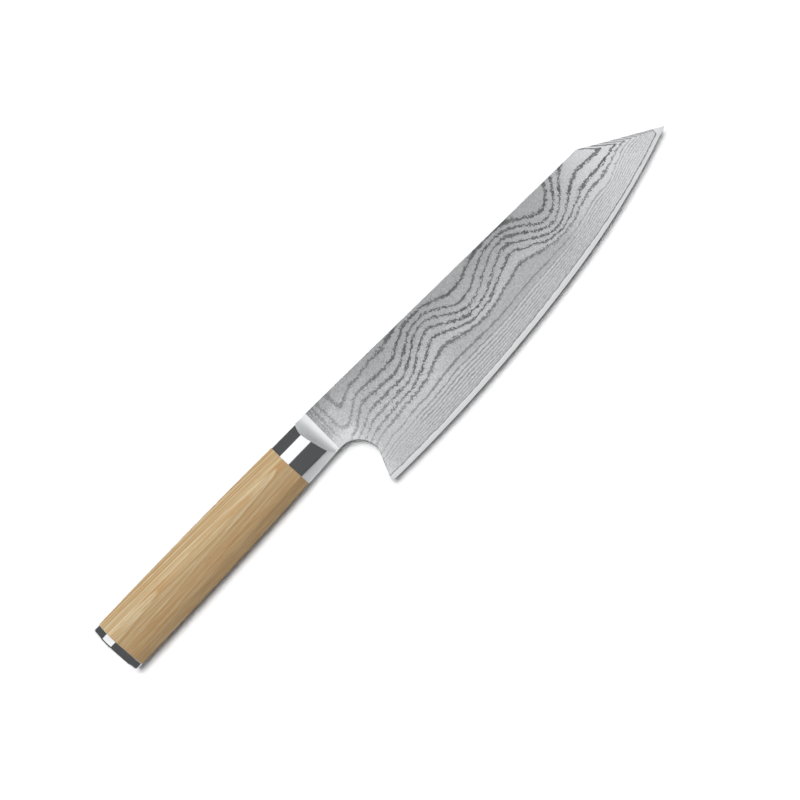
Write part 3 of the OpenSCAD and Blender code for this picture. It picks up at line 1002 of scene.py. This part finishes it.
def polished_material(name, base):
    """Polished steel that turns satin where the attribute says so, with the faint marks of use."""
    n = new_material(name)
    satin = n.attribute("satin")
    grain = n.noise((0.35, 0.35, 0.35), 2.0, 0.6)
    brushed = n.noise((0.5, 5.0, 2.5), 2.0, 0.55)
    smears = n.noise((9, 6, 6), 3.0, 0.55)
    scratch = n.steps(n.noise((6.0, 0.10, 0.10), 3.0, 0.7, 0.5), 0.66, 0.74)
    polished = n.plus(n.steps(smears, 0.35, 0.75, 0.06, 0.12), n.times(scratch, 0.05))
    matt = n.steps(brushed, 0.25, 0.75, 0.56, 0.66)
    shine = n.mix(n.steps(smears, 0.3, 0.8), grey(base), grey(base * 0.95))
    dull = n.mix(brushed, grey(base * 1.02), grey(base * 1.11))
    n.surface(n.mix(satin, shine, dull), n.blend(satin, polished, matt), 1.0)
    relief = n.plus(n.times(brushed, 0.15), n.times(grain, 0.25))
    n.bump(n.blend(satin, n.times(scratch, -0.06), relief), 0.3, 0.03)
    return n.owner


def growth_layers(n, at, turn):
    """Shares of each growth layer's pale start, of the orange after it and of its dark end."""
    warp_long = n.noise((80, 12, 12), turn=turn)
    warp_short = n.noise((11, 2.0, 2.0), 2.0, 0.55, turn)
    rise = n.times(n.minus(JOINT_X, at["X"]), LAYER_TILT)
    height = n.plus(at["Z"], rise, n.swing(warp_long, 0.60), n.swing(warp_short, 0.22))
    layers = n.math("DIVIDE", n.minus(height, FIGURE_Z), LAYER_T)
    within = n.math("FRACT", layers)
    # Layers above the one inside the figure start less pale
    low_layers = n.steps(layers, 0.92, 0.98, 1.0, 0.0)
    early = n.times(n.steps(within, 0.30, 0.10), n.blend(low_layers, 0.32, 0.80))
    second = n.times(n.steps(within, 0.18, 0.28), n.steps(within, 0.32, 0.60, 1.0, 0.0))
    late = n.times(n.steps(within, 0.66, 0.95), n.steps(within, 0.965, 1.0, 1.0, 0.0))
    own_place = n.add("ShaderNodeCombineXYZ", {
        "X": n.times(at["X"], 0.030),
        "Y": n.times(at["Y"], 0.10),
        "Z": n.times(n.math("FLOOR", layers), 5.3),
    }).outputs[0]
    vigour = n.steps(n.noise_at(own_place, 1.0), 0.34, 0.62, 0.45, 1.0)
    return early, n.times(second, vigour, 0.50), n.times(late, vigour, 0.88)


def wood_material(name):
    """Blond wood: growth layers lie parallel to the flat side, and show as a pointed figure on the
    ridge and as fine lines down the sloping faces."""
    n = new_material(name)
    at = n.parts(n.millimetres(turn=-DROOP))
    above_axis = n.minus(at["Y"], AXIS_Y)
    # The grain runs almost along the blade
    turn = -DROOP / 4
    early, second, late = growth_layers(n, at, turn)
    streaks = n.noise((210, 0.66, 0.66), 2.0, 0.6, turn)
    threads = n.noise((95, 0.40, 0.40), 2.0, 0.55, turn)
    ends = n.noise((120, 0.52, 0.52), 3.0, 0.65, turn)
    dashes = n.noise((8, 0.8, 0.7), 2.0, 0.6, turn)
    fibres = n.noise((4, 0.20, 0.20), 2.0, 0.6, turn)
    pores = n.noise((2.4, 0.14, 0.14), 2.0, 0.6, turn)
    broad = n.noise((40, 5, 5), turn=turn)
    # Lower down the cut is steeper, so the layers' ends lie closer together
    flank = n.steps(above_axis, 1.0, -4.0)
    colour = n.mix(n.steps(broad, 0.35, 0.65), (0.572, 0.428, 0.243), (0.618, 0.484, 0.294))
    for share, coat in (
        (early, (0.705, 0.600, 0.405)),
        (second, (0.510, 0.290, 0.105)),
        (late, (0.480, 0.262, 0.095)),
        (n.steps(streaks, 0.48, 0.64, 0.0, 0.62), (0.490, 0.285, 0.112)),
        (n.steps(streaks, 0.47, 0.33, 0.0, 0.52), (0.710, 0.600, 0.400)),
        (n.steps(threads, 0.50, 0.66, 0.0, 0.50), (0.450, 0.265, 0.108)),
        (n.steps(threads, 0.48, 0.34, 0.0, 0.36), (0.700, 0.590, 0.400)),
        (n.steps(dashes, 0.60, 0.72, 0.0, 0.55), (0.500, 0.275, 0.100)),
        (n.steps(fibres, 0.36, 0.66, 0.0, 0.16), (0.430, 0.290, 0.140)),
        (n.steps(pores, 0.62, 0.72, 0.0, 0.22), (0.300, 0.190, 0.085)),
        (n.times(flank, n.steps(ends, 0.50, 0.62, 0.0, 0.62)), (0.440, 0.225, 0.082)),
        (n.times(flank, n.steps(ends, 0.47, 0.35, 0.0, 0.50)), (0.690, 0.580, 0.380)),
        # Painted shade: below the handle's axis, towards the underside, the wood is coloured darker
        (n.steps(above_axis, 6.0, -5.0, 0.0, 0.46), (0.400, 0.248, 0.112)),
        (n.steps(above_axis, -3.0, -9.0, 0.0, 0.27), (0.290, 0.195, 0.100)),
    ):
        colour = n.mix(share, colour, coat)
    n.surface(colour, n.steps(fibres, 0.25, 0.75, 0.46, 0.60))
    n.shader.inputs["Specular IOR Level"].default_value = 0.25
    relief = n.minus(n.times(fibres, 0.4), n.steps(pores, 0.60, 0.72, 0, 0.8))
    n.bump(relief, 0.3, 0.05)
    return n.owner


def hidden_steel_material(name, low, high, rough):
    """Plain machined steel of the tang and its fastening."""
    n = new_material(name)
    turned = n.noise((0.25, 4, 4), 2.0, 0.6, -DROOP)
    stains = n.noise((6, 4, 4), 3.0, 0.6)
    shade = n.times(n.plus(turned, stains), 0.5)
    colour = n.mix(n.steps(shade, 0.3, 0.7), grey(low), grey(high))
    n.surface(colour, n.steps(turned, 0.2, 0.8, rough - 0.08, rough + 0.08), 1.0)
    n.bump(turned, 0.4, 0.04)
    return n.owner


def epoxy_material(name):
    """Cured epoxy, slightly cloudy, with small bubbles."""
    n = new_material(name)
    clouds = n.noise((5, 3, 3), 3.0, 0.6)
    bubbles = n.add("ShaderNodeTexVoronoi", {"Vector": n.millimetres((1.4, 1.4, 1.4)), "Scale": 1.0})
    spots = n.steps(bubbles.outputs["Distance"], 0.10, 0.2, 1.0, 0.0)
    base = n.mix(clouds, (0.60, 0.50, 0.30), (0.74, 0.65, 0.44))
    n.surface(n.mix(n.times(spots, 0.4), base, (0.85, 0.80, 0.66)), n.steps(clouds, 0.3, 0.7, 0.35, 0.5))
    n.bump(spots, 0.5, 0.05)
    return n.owner


# Pieces

# How satin the ramps are, how close to the ramp's cone counts as on it, and the softness of the start
# of the satin facet, before and past it
RAMP_SATIN = 0.80
ON_RAMP = 0.04
FACET_BEFORE = 0.02
FACET_PAST = 0.012
# Faces of a blade layer are walls where the upright share of their normal is less than this
WALL_NORMAL = 0.6


def satin_of(obj):
    """1 on the facet along the underside, less on the ramps, and 0 on the polished collar."""
    mesh = obj.data
    p = spine_frame_points(obj)
    back = -(p[:, 0] - WOOD_X) * math.cos(DROOP) - (p[:, 1] - WOOD_Y) * math.sin(DROOP)
    share = np.clip(-back / BOLSTER_L, 0, 1)
    high = FRONT_H + (BOLSTER_H - FRONT_H) * share
    middle = WOOD_Y + (-BOLSTER_H / 2 - WOOD_Y) * share
    down = (middle + high / 2 - p[:, 1]) / high
    start = JOINT_SHAPE[0] + (LIP_SHAPE[0] - JOINT_SHAPE[0]) * share
    facet = smooth_step(down, start - FACET_BEFORE, start + FACET_PAST) * (p[:, 2] > 0)
    values = np.zeros(len(mesh.loops))
    for polygon in mesh.polygons:
        corners = list(polygon.loop_indices)
        ids = list(polygon.vertices)
        centre = p[ids].mean(axis=0)
        on_ramp = abs(abs(centre[2]) - float(ramp_depth(centre[0], centre[1]))) < ON_RAMP
        values[corners] = RAMP_SATIN if on_ramp else facet[ids]
    return values


def split_walls(obj, wall_material):
    """Gives the narrow walls of a blade layer a material of their own."""
    obj.data.materials.append(wall_material)
    for polygon in obj.data.polygons:
        if abs(polygon.normal.z) < WALL_NORMAL:
            polygon.material_index = 1


def add_piece(obj, material, node):
    obj.data.materials.append(material)
    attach(obj, "root")
    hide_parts(node)
    return obj


layered = blade_material("layered_steel")
core_look = blade_material("core_steel")
spine_look = spine_material("spine_steel")

core = add_piece(build_core(), core_look, "blade_core")
split_walls(core, spine_look)
for name, node, side in (
    ("cladding_right_side", "cladding_right", 1),
    ("cladding_left_side", "cladding_left", -1),
):
    clad = add_piece(build_cladding(name, side), layered, node)
    split_walls(clad, spine_look)

bolster = add_piece(build_bolster(), polished_material("bolster_steel", 0.88), "bolster")
set_attribute(bolster, "satin", satin_of(bolster), "CORNER")
add_piece(build_wood(), wood_material("blond_wood"), "handle")
cap = add_piece(build_cap(), polished_material("cap_steel", 0.80), "end_cap")
set_attribute(cap, "satin", np.zeros(len(cap.data.vertices)))

tang_steel = hidden_steel_material("tang_steel", 0.45, 0.60, 0.42)
fastener_steel = hidden_steel_material("fastener_steel", 0.42, 0.55, 0.36)
for node, material in (
    ("tang_bar", tang_steel),
    ("tang_adhesive", epoxy_material("epoxy")),
    ("tang_washer", fastener_steel),
    ("tang_nut", fastener_steel),
):
    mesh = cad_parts[node].data
    mesh.materials.clear()
    mesh.materials.append(material)


# Floor, light and camera

FLOOR_SIZE = 30.0
FLOOR_GAP = 0.00005
# The floor's own grey, and what the camera and the metal see of it
FLOOR_GREY = 0.45
FLOOR_SEEN = 1.03
# Levels of the studio overhead, at the horizon and ahead of the tip, and where they change, as the
# height or the forward reach of the direction
WORLD_HIGH = 0.102
WORLD_LOW = 0.90
WORLD_AHEAD = 0.46
HORIZON = 0.07
AHEAD_FROM = 0.35
AHEAD_TO = 0.75
# Key light: its tilt towards the spine's side, its spread, and its level on a flat surface
KEY_TILT = math.radians(15)
KEY_SPREAD = math.radians(22)
KEY_LEVEL = 0.85
# Long softbox overhead
TOP_TILT = math.radians(7.5)
TOP_DISTANCE = 2.6
TOP_LENGTH = 4.0
TOP_WIDTH = 4.3
TOP_RADIANCE = 1.05
# Camera straight above, turned so that the tip points up and to the right
VIEW_WIDTH = 0.368
VIEW_TURN = math.radians(44.25)
LENS = 120.0
SENSOR = 36.0
# Middle of the view, in the frame of the spine
VIEW_CENTRE = place((35.49, -25.92, 0.0))


def build_floor():
    """A pale floor that the camera and the metal see as white, apart from the object's shadow."""
    half = FLOOR_SIZE / 2
    low = CAD_BOX[0].z - FLOOR_GAP
    corners = [(-half, -half, low), (half, -half, low), (half, half, low), (-half, half, low)]
    mesh = bpy.data.meshes.new("floor")
    mesh.from_pydata(corners, [], [(0, 1, 2, 3)])
    n = new_material("floor")
    path = n.add("ShaderNodeLightPath").outputs
    seen = n.math("MAXIMUM", path["Is Camera Ray"], path["Is Glossy Ray"])
    seen = n.math("MAXIMUM", seen, path["Is Transmission Ray"])
    colour = n.mix(seen, (FLOOR_GREY,) * 3, (FLOOR_SEEN,) * 3)
    matt = n.add("ShaderNodeBsdfDiffuse", {"Color": colour}).outputs[0]
    n.put(n.tree.nodes["Material Output"].inputs["Surface"], matt)
    n.tree.nodes.remove(n.shader)
    mesh.materials.append(n.owner)
    obj = new_object("floor", mesh)


def build_world():
    """A dim studio, bright along the horizon and a little brighter ahead of the tip."""
    n = Nodes(bpy.data.worlds.new("studio"), "Background")
    at = n.parts(n.add("ShaderNodeTexCoord").outputs["Generated"])
    overhead = n.steps(at["Z"], 0.0, HORIZON, WORLD_LOW, WORLD_HIGH)
    ahead = n.steps(at["X"], AHEAD_FROM, AHEAD_TO, WORLD_HIGH, WORLD_AHEAD)
    n.shader.inputs["Color"].default_value = (*COOL, 1)
    n.put(n.shader.inputs["Strength"], n.math("MAXIMUM", overhead, ahead))
    bpy.context.scene.world = n.owner


def add_light(name, kind, tilt, distance=1.0):
    """A light from above the object, tilted towards the spine's side."""
    obj = new_object(name, bpy.data.lights.new(name, kind))
    obj.location = (0, distance * math.sin(tilt), distance * math.cos(tilt))
    obj.rotation_euler = (-tilt, 0, 0)
    obj.visible_camera = False
    return obj


def build_key_light():
    """Even light whose share of a flat surface's own colour is the level."""
    obj = add_light("key", "SUN", KEY_TILT)
    obj.data.angle = KEY_SPREAD
    obj.data.energy = KEY_LEVEL * math.pi / math.cos(KEY_TILT)
    obj.visible_glossy = False


def build_top_panel():
    """A softbox that only the gloss of the object shows."""
    obj = add_light("top_panel", "AREA", TOP_TILT, TOP_DISTANCE)
    obj.data.shape = "RECTANGLE"
    obj.data.size = TOP_LENGTH
    obj.data.size_y = TOP_WIDTH
    obj.data.energy = TOP_RADIANCE * math.pi * TOP_LENGTH * TOP_WIDTH
    obj.visible_diffuse = False


def build_camera():
    data = bpy.data.cameras.new("camera")
    data.lens = LENS
    data.sensor_width = SENSOR
    obj = new_object("camera", data)
    right_x = math.cos(VIEW_TURN)
    right_y = -math.sin(VIEW_TURN)
    obj.matrix_world = Matrix((
        (right_x, -right_y, 0, VIEW_CENTRE[0]),
        (right_y, right_x, 0, VIEW_CENTRE[1]),
        (0, 0, 1, VIEW_CENTRE[2] + VIEW_WIDTH * LENS / SENSOR),
        (0, 0, 0, 1),
    ))
    return obj


build_floor()
build_world()
build_key_light()
build_top_panel()
camera = build_camera()
bpy.context.scene.camera = camera
bpy.context.scene.view_settings.view_transform = "Standard"
